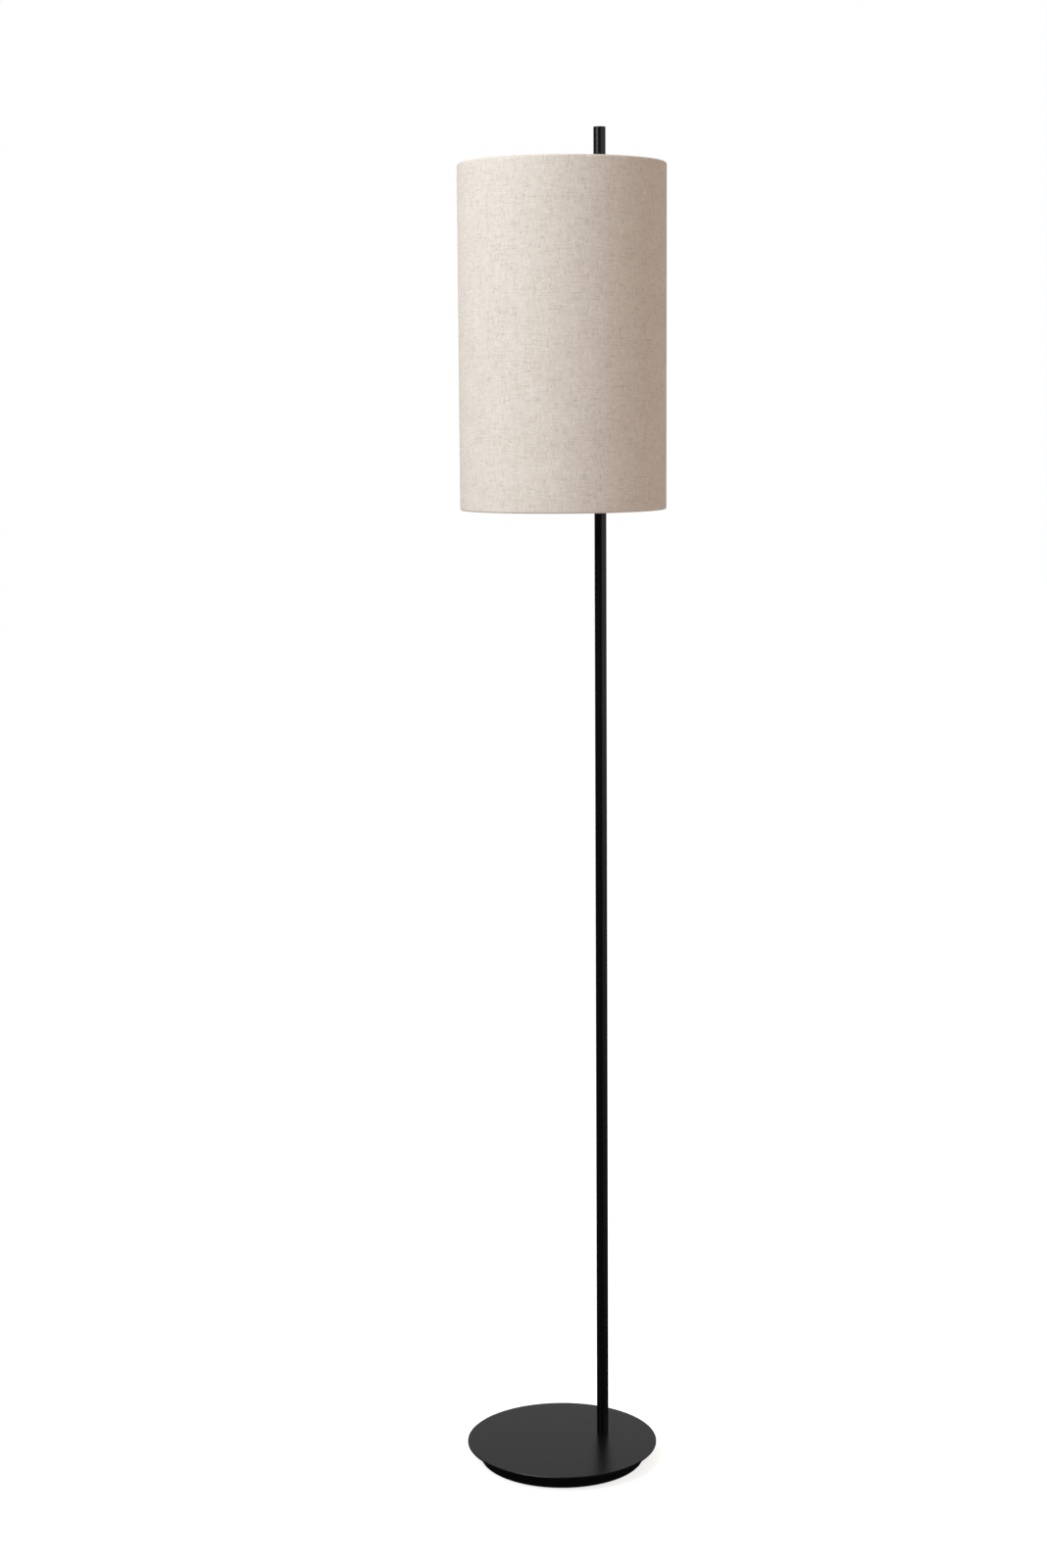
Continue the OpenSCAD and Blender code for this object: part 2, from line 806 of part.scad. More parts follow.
module bulb_cap() {
    thread_z0 = bulb_cap_z0 + insulator_h;
    turns = floor((bulb_cap_h - insulator_h - 2) / bulb_pitch) - 1;
    floor_z = bulb_cap_z1 - bulb_neck_in - over;
    color("silver")
        difference() {
            union() {
                rotate_extrude()
                    polygon([[0, bulb_cap_z0], [bulb_tip_r + 1, bulb_cap_z0], [bulb_core_r, thread_z0],
                        [bulb_core_r, bulb_cap_z1], [0, bulb_cap_z1]]);
                // rounded thread
                rotate_extrude()
                    for (i = [1 : turns])
                        translate([bulb_core_r, thread_z0 + i * bulb_pitch])
                            circle(r = bulb_thread_r, $fn = 24);
            }
            bar(bulb_core_r - bulb_cup_t, floor_z, bulb_cap_z1 + over);
        }
}

// Outline of the glass: neck, shoulder, tube and dome, drawn inwards by inset
module glass_outline(inset) {
    neck_z0 = bulb_cap_z1 - bulb_neck_in;
    shoulder_z = bulb_cap_z1 + over;
    tube_z0 = shoulder_z + bulb_shoulder_h;
    dome_z = bulb_z1 - bulb_r;
    polygon([[0, neck_z0 + inset], [bulb_neck_r - inset, neck_z0 + inset],
        [bulb_neck_r - inset, shoulder_z], [bulb_r - inset, tube_z0], [bulb_r - inset, dome_z],
        [0, dome_z]]);
    intersection() {
        translate([0, dome_z])
            circle(r = bulb_r - inset);
        translate([0, dome_z - over])
            square(bulb_r * 2);
    }
}

module bulb_glass() {
    color([0.9, 0.92, 0.95, 0.4])
        rotate_extrude()
            difference() {
                glass_outline(0);
                glass_outline(bulb_wall);
            }
}

// Glass stem with the star that holds the light strips
module bulb_stem() {
    stem_z0 = bulb_cap_z1 - bulb_neck_in + bulb_wall;
    flare_r = bulb_neck_r - bulb_wall - fit_gap;
    top_z = stem_z0 + stem_h;
    color("white")
        rotate_extrude()
            polygon([[0, stem_z0], [flare_r, stem_z0], [flare_r, stem_z0 + 1],
                [stem_r, stem_z0 + flare_r], [stem_r, top_z - stem_top_t],
                [stem_top_r, top_z - stem_top_t], [stem_top_r, top_z], [0, top_z]]);
}

module light_strips() {
    strip_z0 = bulb_cap_z1 - bulb_neck_in + bulb_wall + stem_h;
    color("gold")
        around(strips_n, strip_ring_r, 0)
            bar(strip_d / 2, strip_z0, strip_z0 + strip_len);
}

// ---- Shade ----

// Cloth skin, rolled round both hoops and notched where the spider's arms meet the lower one
module shade_cloth() {
    color([0.82, 0.78, 0.73])
        difference() {
            rotate_extrude($fn = 180)
                difference() {
                    union() {
                        translate([shade_r - cloth_t, bottom_hoop_z])
                            square([cloth_t, top_hoop_z - bottom_hoop_z]);
                        for (z = [bottom_hoop_z, top_hoop_z])
                            translate([hoop_r, z])
                                circle(r = wrap_r, $fn = 48);
                    }
                    for (z = [bottom_hoop_z, top_hoop_z])
                        translate([hoop_r, z])
                            circle(r = wrap_in_r, $fn = 48);
                }
            around(spider_arms_n, leg_r, arm_first)
                bar(arm_wire_r + notch_gap, leg_z0 - notch_gap, bottom_hoop_z + wrap_r + over);
        }
}

module shade_liner() {
    color("white")
        rotate_extrude($fn = 180)
            translate([liner_r - liner_t, bottom_hoop_z + wrap_r])
                square([liner_t, top_hoop_z - bottom_hoop_z - 2 * wrap_r]);
}

module hoop(z) {
    rotate_extrude($fn = 180)
        translate([hoop_r, z])
            circle(r = wire_r, $fn = 48);
}

module top_hoop() {
    color("white")
        hoop(top_hoop_z);
}

module bottom_hoop() {
    color("white")
        hoop(bottom_hoop_z);
}

// Wire arms: out from the ring, round a bend and down to the lower hoop
module spider_arms() {
    start_r = spider_ring_d / 2 - arm_on_ring;
    bend_x = leg_r - arm_bend_r;
    color("white")
        around(spider_arms_n, 0, arm_first) {
            bar_x(arm_wire_r, start_r, bend_x, arm_wire_z);
            translate([bend_x, 0, arm_wire_z - arm_bend_r])
                rotate([90, 0, 0])
                    rotate_extrude(angle = 90)
                        translate([arm_bend_r, 0])
                            circle(r = arm_wire_r, $fn = 48);
            translate([leg_r, 0, 0])
                bar(arm_wire_r, leg_z0, arm_wire_z - arm_bend_r);
        }
}

module spider_ring() {
    color("white")
        pipe(spider_ring_d / 2, spider_ring_bore / 2, seat_z, seat_z + spider_ring_t);
}

foot_pad();
bottom_cover();
cover_screws();
ballast();
ballast_nuts();
weld_studs();
base_skirt();
base_plate();
cord_gland();
cord_grip();
grip_screws();
foot_nut();
foot_washer();
foot_stud();
foot_insert();
lower_tube();
lower_spigot();
middle_tube();
upper_spigot();
upper_tube();
top_plug();
inner_flex();
arm_collar();
grub_screws();
arm_tube();
arm_hub();
holder_nipple();
fibre_washer();
holder_cap();
holder_block();
centre_contact();
thread_sleeve();
holder_shell();
seat_ring();
ring_nut();
bulb_contact();
bulb_cap();
bulb_glass();
bulb_stem();
light_strips();
shade_cloth();
shade_liner();
top_hoop();
bottom_hoop();
spider_arms();
spider_ring();
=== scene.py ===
"""Column floor lamp: looks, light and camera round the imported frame. All sizes are in metres."""

import json
import math

import bmesh
import bpy
from mathutils import Matrix, Vector


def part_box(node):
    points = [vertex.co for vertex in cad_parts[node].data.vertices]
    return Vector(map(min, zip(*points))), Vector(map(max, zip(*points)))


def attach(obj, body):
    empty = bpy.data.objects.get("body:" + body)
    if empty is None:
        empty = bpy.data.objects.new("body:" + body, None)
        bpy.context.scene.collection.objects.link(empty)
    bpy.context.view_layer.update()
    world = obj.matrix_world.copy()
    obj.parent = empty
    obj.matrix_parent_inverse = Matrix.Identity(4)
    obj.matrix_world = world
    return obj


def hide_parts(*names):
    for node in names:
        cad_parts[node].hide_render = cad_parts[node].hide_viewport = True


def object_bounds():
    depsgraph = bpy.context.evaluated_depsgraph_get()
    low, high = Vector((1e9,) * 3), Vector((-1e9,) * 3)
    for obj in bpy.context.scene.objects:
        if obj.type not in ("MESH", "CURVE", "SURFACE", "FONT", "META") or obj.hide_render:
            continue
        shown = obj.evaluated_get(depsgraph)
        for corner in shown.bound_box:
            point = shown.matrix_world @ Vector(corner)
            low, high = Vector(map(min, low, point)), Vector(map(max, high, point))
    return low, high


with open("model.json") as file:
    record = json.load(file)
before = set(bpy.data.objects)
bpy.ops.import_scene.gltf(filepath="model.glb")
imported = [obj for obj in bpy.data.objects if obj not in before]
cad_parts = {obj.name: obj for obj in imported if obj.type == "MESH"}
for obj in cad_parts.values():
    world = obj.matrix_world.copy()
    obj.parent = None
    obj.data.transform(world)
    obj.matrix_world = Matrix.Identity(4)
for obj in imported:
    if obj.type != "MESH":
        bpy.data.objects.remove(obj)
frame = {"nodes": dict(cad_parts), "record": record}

CAD_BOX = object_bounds()
MM = 0.001

# ---- Camera: placed round the shade's axis, in the photograph's frame ----

FRAME_LONG_SIDE = 1600        # pixels, which the sensor's width spans
FOCAL_PIXELS = 2628.2
SENSOR_WIDTH = 36.0           # millimetres, as cameras give it
VIEW_DEPTH = 60.0             # beyond which nothing is seen
CAMERA_TURN = 24.7            # degrees between the camera's right and the way to the pole
CAMERA_ASIDE = -0.0487        # how far right of the shade's axis it stands
CAMERA_AWAY = 3.0281
CAMERA_HEIGHT = 1.2869
CAMERA_PITCH = 0.1473         # radians downwards
CAMERA_ROLL = -0.0070

# ---- Light levels: what a white card facing the lamp would show ----

KEY_LEVEL = 0.76
KEY_TINT = (0.94, 1.05, 1.13)
PANEL_LEVEL = 0.08
PANEL_TINT = (1.06, 0.92, 0.83)
AMBIENT_LEVEL = 0.43
AMBIENT_TINT = (1.10, 0.92, 0.80, 1.0)
FLOOR_COLOUR = 0.72
FLOOR_GLOW = 0.75             # what the floor adds where it is seen, so that it stays white
STUDIO_DARK = 0.03            # what gloss shows of the unlit studio, on the camera's side
SIDE_WALL = 0.95              # of the lit wall on the right
CEILING = 0.145               # of the ceiling behind the lamp, as a share of what is below it
FLOOR_SHARE = 0.12            # and of the floor, as a share of the wall above it
POLE_MIDDLE = 0.6             # height from which the floor is looked at in gloss
BEHIND_FADE = (0.72, 0.95)    # cosines to straight behind, between which the background fades in
CEILING_FADE = (0.1, 0.5)     # rise between which the background fades to the ceiling
ASIDE_FADE = (0.2, 0.6)       # cosines to the right, between which the wall fades in
WALL_FRONT = (-0.7, 0.2)      # cosines to behind, between which the wall fades to its far level
WALL_FAR = 0.5
WALL_FOOT = (-0.28, 0.04)     # rise between which the floor fades to the wall
HEAD_SHARE = 0.6              # of the lamp's height, where the lights are aimed
FLOOR_HALF = 12.0
WHITE = (1.0, 1.0, 1.0, 1.0)

# Lights: degrees right of the camera, distance and height, then width and height of the box

KEY_PLACE = (-50.5, 2.0, 2.7)
KEY_SIZE = (1.5, 2.2)
PANEL_PLACE = (85.0, 2.6, 1.75)
PANEL_SIZE = (2.6, 1.5)

# ---- Shade cloth, as it is cut, lapped and rolled ----

CLOTH_T = 0.6 * MM
LAP = 12 * MM                 # overlap at the seam
LAP_RISE = 0.63 * MM          # how far the upper layer of the lap stands proud
LAP_RAMP = 6 * MM
SEAM_DIRECTION = 64.0         # degrees from +X, on the side away from the camera
ROLL_TURN = 285.0             # degrees that each edge is rolled round its hoop
ROLL_STEPS = 28
WALL_STEPS = 40
ROUND_STEPS = 400
ARM_WIRE_R = 1.75 * MM
ARM_DIRECTIONS = (60, 180, 300)
WELD_GAP = 0.3 * MM           # round each arm, where it passes the rolled edge
NOTCH_MARGIN = 0.4 * MM       # kept free of other stations beside each notch
NOTCH_TURN = 212              # direction in the lower roll, in degrees, up to which it is notched

# ---- Threads and screw drives ----

THREAD_COLUMNS = 120
ROWS_PER_TURN = 12
CREST_GAIN = 1.1              # over 0.5 it cuts a thread's crests and roots flat
THREAD_FADE = 1.6 * MM        # over which a thread rises from the plain stretch beside it
BULB_PITCH = 3.629 * MM
BULB_DEPTH = 0.9 * MM
BULB_CUP_T = 0.6 * MM         # wall of the cap at the thread's root
INSULATOR_H = 2.5 * MM
INSULATOR_LOW_R = 5.8 * MM
INSULATOR_INSET = 0.2 * MM    # of its upper edge inside the cap's root
NECK_IN = 19 * MM             # depth of the cup that the glass neck sits in
HOLDER_PITCH = 2.5 * MM
HOLDER_DEPTH = 0.7 * MM
HOLDER_PLAIN = 5 * MM         # plain stretch below the holder's thread
HOLDER_WALL = 2.2 * MM
SLEEVE_ROOM = 1 * MM          # between the screw sleeve and the shell
COVER_HEAD_R = 3.6 * MM
CROSS_LENGTH = 4.4 * MM
CROSS_WIDTH = 1.0 * MM
CROSS_DEPTH = 1.1 * MM
GRUB_R = 2 * MM
GRUB_FLATS = 2 * MM
GRUB_SOCKET = 2.2 * MM


# ---- Node helpers ----

class Graph:
    """Adds and links shader nodes of one material."""

    def __init__(self, material):
        self.tree = material.node_tree

    def add(self, kind, values=(), **settings):
        """A node of this kind; values go to its inputs, as numbers or as sockets to link."""
        node = self.tree.nodes.new("ShaderNode" + kind)
        for key, value in settings.items():
            setattr(node, key, value)
        for key, value in dict(values).items():
            if isinstance(value, bpy.types.NodeSocket):
                self.tree.links.new(value, node.inputs[key])
            else:
                node.inputs[key].default_value = value
        return node

    def math(self, operation, a, b=0.0, c=0.0):
        return self.add("Math", {0: a, 1: b, 2: c}, operation=operation).outputs[0]

    def clamped(self, value, low, high, to_low=0.0, to_high=1.0):
        """Eases value from to_low at low to to_high at high."""
        node = self.add("MapRange", {"Value": value, "From Min": low, "From Max": high,
                                     "To Min": to_low, "To Max": to_high},
                        interpolation_type="SMOOTHSTEP")
        return node.outputs["Result"]

    def mix(self, factor, a, b):
        node = self.add("Mix", data_type="RGBA")
        for index, value in ((0, factor), (6, a), (7, b)):
            if isinstance(value, bpy.types.NodeSocket):
                self.tree.links.new(value, node.inputs[index])
            else:
                node.inputs[index].default_value = value
        return node.outputs[2]

    def place(self):
        return self.add("TexCoord").outputs["Object"]

    def noise(self, scale, detail=2.0, vector=None):
        vector = vector or self.place()
        return self.add("TexNoise", {"Vector": vector, "Scale": scale,
                                     "Detail": detail}).outputs["Fac"]

    def stretched(self, scale_xyz):
        """Object coordinates with each axis scaled by itself."""
        return self.add("Mapping", {"Vector": self.place(), "Scale": scale_xyz}).outputs["Vector"]

    def bump(self, height, distance, strength):
        values = {"Height": height, "Distance": distance, "Strength": strength}
        return self.add("Bump", values).outputs["Normal"]


def rgb(red, green, blue):
    return (red, green, blue, 1.0)


def surface(name, colour=(0.8, 0.8, 0.8), roughness=0.5, **constants):
    """A principled material; constants such as metallic or IOR go straight to its sockets."""
    material = bpy.data.materials.new(name)
    material.use_nodes = True
    material.diffuse_color = rgb(*colour)
    shader = material.node_tree.nodes["Principled BSDF"]
    shader.inputs["Base Color"].default_value = rgb(*colour)
    shader.inputs["Roughness"].default_value = roughness
    for key, value in constants.items():
        shader.inputs[key.replace("_", " ")].default_value = value
    return material, Graph(material), shader


def link(graph, shader, **sockets):
    for key, socket in sockets.items():
        graph.tree.links.new(socket, shader.inputs[key.replace("_", " ")])


# ---- Materials ----

def black_coat():
    """Satin black powder coat with a very fine texture."""
    roughness = 0.3
    material, g, shader = surface("black_coat", (0.003, 0.003, 0.003), roughness, IOR=1.5)
    powder = g.noise(2600.0, 3.0)
    cloud = g.noise(9.0, 2.0)
    link(g, shader,
         Base_Color=g.mix(cloud, rgb(0.0014, 0.0014, 0.0014), rgb(0.0022, 0.0021, 0.0021)),
         Roughness=g.clamped(powder, 0.2, 0.8, roughness - 0.05, roughness + 0.05),
         Normal=g.bump(powder, 0.03 * MM, 0.12))
    return material


def felt():
    """Dense dark felt: matted fibres both ways."""
    material, g, shader = surface("felt", (0.05, 0.05, 0.053), 0.95, Sheen_Weight=0.4)
    fibres = g.noise(1.0, 4.0, g.stretched((900.0, 2600.0, 1500.0)))
    matted = g.noise(700.0, 4.0)
    both = g.math("ADD", fibres, matted)
    link(g, shader,
         Base_Color=g.mix(g.clamped(both, 0.7, 1.3), rgb(0.03, 0.03, 0.032), rgb(0.085, 0.085, 0.09)),
         Normal=g.bump(both, 0.4 * MM, 0.6))
    return material


def plated(name, colour, roughness, metallic=1.0, grain=(400.0, 400.0, 60.0)):
    """Metal with a faint drawn grain and uneven gloss."""
    material, g, shader = surface(name, colour, roughness, Metallic=metallic)
    drawn = g.noise(1.0, 3.0, g.stretched(grain))
    dull = g.noise(160.0, 3.0)
    darker = rgb(*(0.82 * c for c in colour))
    link(g, shader,
         Base_Color=g.mix(g.clamped(dull, 0.35, 0.65), darker, rgb(*colour)),
         Roughness=g.clamped(drawn, 0.3, 0.7, roughness - 0.08, roughness + 0.1),
         Normal=g.bump(drawn, 0.02 * MM, 0.3))
    return material


def cast_iron():
    """Rough grey casting with patches of rust."""
    material, g, shader = surface("cast_iron", (0.09, 0.09, 0.095), 0.75, Metallic=0.6)
    sand = g.noise(900.0, 5.0)
    rust = g.clamped(g.noise(60.0, 4.0), 0.58, 0.72)
    grey = g.mix(sand, rgb(0.05, 0.05, 0.052), rgb(0.13, 0.13, 0.135))
    link(g, shader,
         Base_Color=g.mix(rust, grey, rgb(0.10, 0.065, 0.05)),
         Normal=g.bump(sand, 0.3 * MM, 0.7))
    return material


def moulded(name, colour, roughness, **constants):
    """Moulded plastic: a fine spark-eroded grain and a slight drift of tone."""
    material, g, shader = surface(name, colour, roughness, **constants)
    grain = g.noise(1900.0, 2.0)
    drift = g.noise(45.0, 2.0)
    darker = rgb(*(0.9 * c for c in colour))
    link(g, shader,
         Base_Color=g.mix(drift, darker, rgb(*colour)),
         Roughness=g.clamped(grain, 0.3, 0.7, roughness - 0.04, roughness + 0.06),
         Normal=g.bump(grain, 0.03 * MM, 0.35))
    return material


def fibre():
    """Vulcanised fibre: dark red-brown board with short fibres."""
    material, g, shader = surface("fibre", (0.30, 0.12, 0.06), 0.7)
    fibres = g.noise(1.0, 4.0, g.stretched((700.0, 2400.0, 2400.0)))
    link(g, shader,
         Base_Color=g.mix(g.clamped(fibres, 0.35, 0.7), rgb(0.22, 0.085, 0.045), rgb(0.38, 0.17, 0.09)),
         Normal=g.bump(fibres, 0.08 * MM, 0.5))
    return material


def clear_glass(name, colour, roughness=0.0):
    """Drawn glass with faint waves along it."""
    material, g, shader = surface(name, colour, roughness, Transmission_Weight=1.0, IOR=1.5)
    waves = g.noise(1.0, 2.0, g.stretched((60.0, 60.0, 14.0)))
    link(g, shader, Normal=g.bump(waves, 0.2 * MM, 0.2))
    return material


def phosphor():
    """Soft yellow coat over a row of small diodes, lighter over each of them."""
    material, g, shader = surface("phosphor", (0.80, 0.52, 0.10), 0.45, Subsurface_Weight=0.2,
                                  Subsurface_Scale=0.4 * MM)
    height = g.add("SeparateXYZ", {0: g.place()}).outputs["Z"]
    diode_pitch = 2.4 * MM
    row = g.math("PINGPONG", g.math("DIVIDE", height, diode_pitch), 0.5)
    link(g, shader,
         Base_Color=g.mix(g.clamped(row, 0.2, 0.4), rgb(0.72, 0.43, 0.07), rgb(0.86, 0.62, 0.16)),
         Normal=g.bump(g.noise(1500.0), 0.05 * MM, 0.4))
    return material


def liner_film():
    """Thin white film that stiffens the cloth, with the weave telegraphing through it."""
    material, g, shader = surface("liner", (0.84, 0.82, 0.78), 0.4, Specular_IOR_Level=0.35)
    telegraph = g.noise(1.0, 3.0, g.stretched((700.0, 700.0, 700.0)))
    drift = g.noise(18.0, 2.0)
    link(g, shader,
         Base_Color=g.mix(drift, rgb(0.80, 0.775, 0.73), rgb(0.86, 0.84, 0.80)),
         Roughness=g.clamped(drift, 0.3, 0.7, 0.36, 0.46),
         Normal=g.bump(telegraph, 0.08 * MM, 0.3))
    return material


def linen():
    """Natural linen in plain weave. The threads follow the cloth's own map, in metres along
    and across it; some stretches of thread are darker or paler than the rest."""
    material, g, shader = surface("linen", (0.66, 0.58, 0.50), 0.92, Specular_IOR_Level=0.3,
                                  Sheen_Weight=0.15, Sheen_Roughness=0.5)
    thread = 0.62 * MM
    cloth = g.add("SeparateXYZ", {0: g.add("UVMap", uv_map="cloth").outputs["UV"]})
    across = g.math("DIVIDE", cloth.outputs["X"], thread)
    along = g.math("DIVIDE", cloth.outputs["Y"], thread)
    wave_u = g.math("SINE", g.math("MULTIPLY", across, math.pi))
    wave_v = g.math("SINE", g.math("MULTIPLY", along, math.pi))
    warp_on_top = g.clamped(g.math("MULTIPLY", wave_u, wave_v), -0.25, 0.25)
    warp_round = g.math("ABSOLUTE", wave_u)
    weft_round = g.math("ABSOLUTE", wave_v)

    def thread_noise(index_of, run_of, run_length, spread, together=1, detail=1.0):
        """Noise that is constant across one or more threads and drifts along them."""
        first = g.math("FLOOR", g.math("DIVIDE", index_of, together))
        index = g.math("MULTIPLY", first, spread)
        run = g.math("MULTIPLY", run_of, thread / run_length)
        return g.noise(1.0, detail, g.add("CombineXYZ", {0: index, 1: run}).outputs[0])

    def dashes(together, weft_run, warp_run, spread, low, high):
        """Stretches of weft and warp above a threshold, each seen where its thread is on top."""
        weft = g.clamped(thread_noise(along, across, weft_run, spread + 4.1, together), low, high)
        warp = g.clamped(thread_noise(across, along, warp_run, spread, together), low, high)
        return g.math("ADD", g.math("MULTIPLY", warp, warp_on_top),
                      g.math("MULTIPLY", weft, g.math("SUBTRACT", 1.0, warp_on_top)))

    flat = g.add("CombineXYZ", {0: cloth.outputs["X"], 1: cloth.outputs["Y"]}).outputs[0]
    mottle = g.noise(28.0, 3.0, flat)
    ground = g.mix(g.clamped(mottle, 0.3, 0.7), rgb(0.760, 0.688, 0.616), rgb(0.79, 0.718, 0.645))
    pale = g.mix(g.math("MULTIPLY", dashes(2, 15 * MM, 12 * MM, 7.7, 0.55, 0.64), 0.60), ground,
                 rgb(0.90, 0.845, 0.78))
    fine = g.mix(g.math("MULTIPLY", dashes(1, 18 * MM, 14 * MM, 3.3, 0.50, 0.66), 0.26), pale,
                 rgb(0.50, 0.425, 0.355))
    slubs = g.mix(g.math("MULTIPLY", dashes(2, 16 * MM, 12 * MM, 5.1, 0.58, 0.65), 0.36), fine,
                  rgb(0.42, 0.345, 0.28))
    knots = dashes(2, 5 * MM, 4 * MM, 9.3, 0.67, 0.72)
    colour = g.mix(g.math("MULTIPLY", knots, 0.45), slubs, rgb(0.30, 0.24, 0.19))

    round_threads = g.add("Mix", {0: warp_on_top, 2: weft_round, 3: warp_round}).outputs[0]
    slub = g.math("MULTIPLY", thread_noise(along, across, 30 * MM, 5.9), 0.8)
    height = g.math("ADD", round_threads, slub)
    link(g, shader, Base_Color=colour, Normal=g.bump(height, 0.16 * MM, 0.5))
    return material


MATERIALS = {
    "black_coat": black_coat(),
    "felt": felt(),
    "zinc_steel": plated("zinc_steel", (0.60, 0.61, 0.62), 0.32),
    "black_screw": plated("black_screw", (0.035, 0.035, 0.037), 0.45, 0.8),
    "cast_iron": cast_iron(),
    "black_plastic": moulded("black_plastic", (0.014, 0.014, 0.015), 0.5),
    "nylon": moulded("nylon", (0.72, 0.69, 0.61), 0.45, Subsurface_Weight=0.15,
                     Subsurface_Scale=1.0 * MM),
    "fibre": fibre(),
    "block_plastic": moulded("block_plastic", (0.80, 0.77, 0.70), 0.3),
    "brass": plated("brass", (0.74, 0.53, 0.22), 0.28),
    "flex_sheath": moulded("flex_sheath", (0.72, 0.72, 0.70), 0.45),
    "bulb_metal": plated("bulb_metal", (0.76, 0.75, 0.73), 0.3),
    "solder": plated("solder", (0.60, 0.60, 0.59), 0.5),
    "bulb_glass": clear_glass("bulb_glass", (0.97, 0.98, 0.98)),
    "stem_glass": clear_glass("stem_glass", (0.93, 0.95, 0.94), 0.05),
    "phosphor": phosphor(),
    "linen": linen(),
    "liner": liner_film(),
    "white_coat": moulded("white_coat", (0.78, 0.775, 0.75), 0.42),
}

for part in frame["record"]["subparts"]:
    mesh = frame["nodes"][part["node"]].data
    mesh.materials.clear()
    mesh.materials.append(MATERIALS[part["material_slot"]])


# ---- Mesh helpers ----

def piece(name, mesh, body, slot, replaces=()):
    """Puts a finished mesh in the scene as a piece of the lamp."""
    obj = bpy.data.objects.new(name, mesh)
    bpy.context.scene.collection.objects.link(obj)
    mesh.materials.append(MATERIALS[slot])
    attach(obj, body)
    if replaces:
        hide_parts(*replaces)
    return obj


def finished(mesh, name, sharp=35.0):
    """The bmesh as mesh data, smooth but for edges sharper than this angle in degrees."""
    bmesh.ops.recalc_face_normals(mesh, faces=mesh.faces)
    for face in mesh.faces:
        face.smooth = True
    data = bpy.data.meshes.new(name)
    mesh.to_mesh(data)
    mesh.free()
    data.set_sharp_from_angle(angle=math.radians(sharp))
    return data


# ---- Lamp holder and bulb: helical threads ----

def rounded_crest(phase):
    """Depth of a rolled thread, from 0 at its root to 1 at its crest."""
    return 0.5 + 0.5 * math.cos(2 * math.pi * phase)


def flat_crest(phase):
    """A thread with a flat crest and a flat root."""
    return min(max(0.5 + CREST_GAIN * math.cos(2 * math.pi * phase), 0.0), 1.0)


def threaded(name, section, thread, pitch, depth, crest):
    """A ring turned from a closed section of (r, z) points. The thread, a pair of heights, is
    cut depth deep into the upright side that the first two points of the section make."""
    (r, z0), (_, z1) = section[:2]
    low, high = thread
    rows = int((z1 - z0) / (pitch / ROWS_PER_TURN))
    outline = [(r, z0 + (z1 - z0) * i / rows) for i in range(rows + 1)] + list(section[2:])
    mesh = bmesh.new()
    rings = []
    for column in range(THREAD_COLUMNS):
        share = column / THREAD_COLUMNS
        ring = []
        for i, (radius, z) in enumerate(outline):
            if i <= rows:
                rise = max(min((z - low) / THREAD_FADE, (high - z) / THREAD_FADE, 1.0), 0.0)
                root = 1.0 - crest(z / pitch - share)
                radius -= depth * (root * rise + (1.0 - rise) * (z > low))
            angle = 2 * math.pi * share
            ring.append(mesh.verts.new((radius * math.cos(angle), radius * math.sin(angle), z)))
        rings.append(ring)
    for ring, following in zip(rings, rings[1:] + rings[:1]):
        for i in range(len(outline)):
            j = (i + 1) % len(outline)
            mesh.faces.new((ring[i], following[i], following[j], ring[j]))
    return finished(mesh, name)


def holder_thread():
    """Threaded shell of the lamp holder."""
    low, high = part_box("holder_shell")
    outer_r = high.x
    inner_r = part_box("thread_sleeve")[1].x + SLEEVE_ROOM
    block_r = outer_r - HOLDER_WALL
    block_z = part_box("holder_block")[1].z
    section = [(outer_r, low.z), (outer_r, high.z), (inner_r, high.z), (inner_r, block_z),
               (block_r, block_z), (block_r, low.z)]
    data = threaded("threaded_shell", section, (low.z + HOLDER_PLAIN, high.z + THREAD_FADE),
                    HOLDER_PITCH, HOLDER_DEPTH, flat_crest)
    piece("threaded_shell", data, "root", "black_plastic", ["holder_shell"])


def bulb_screw():
    """Rolled cap of the bulb, and the black insulator at its lower end."""
    low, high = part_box("bulb_cap")
    outer_r = high.x
    core_r = outer_r - BULB_DEPTH
    cup_r = core_r - BULB_CUP_T
    thread_z = low.z + INSULATOR_H
    section = [(outer_r, thread_z), (outer_r, high.z), (cup_r, high.z), (cup_r, thread_z)]
    data = threaded("bulb_screw_cap", section, (thread_z - THREAD_FADE, high.z - THREAD_FADE),
                    BULB_PITCH, BULB_DEPTH, rounded_crest)
    piece("bulb_screw_cap", data, "bulb", "bulb_metal", ["bulb_cap"])
    floor_z = high.z - NECK_IN
    mesh = bmesh.new()
    rings = []
    for r, z in ((INSULATOR_LOW_R, low.z), (core_r - INSULATOR_INSET, thread_z),
                 (cup_r, thread_z), (cup_r, floor_z)):
        rings.append([mesh.verts.new((r * math.cos(2 * math.pi * i / THREAD_COLUMNS),
                                      r * math.sin(2 * math.pi * i / THREAD_COLUMNS), z))
                      for i in range(THREAD_COLUMNS)])
    for lower, upper in zip(rings, rings[1:]):
        for i in range(THREAD_COLUMNS):
            j = (i + 1) % THREAD_COLUMNS
            mesh.faces.new((lower[i], lower[j], upper[j], upper[i]))
    mesh.faces.new(rings[0])
    mesh.faces.new(rings[-1])
    piece("bulb_insulator", finished(mesh, "bulb_insulator"), "bulb", "black_plastic")


holder_thread()
bulb_screw()


# ---- Screw drives ----

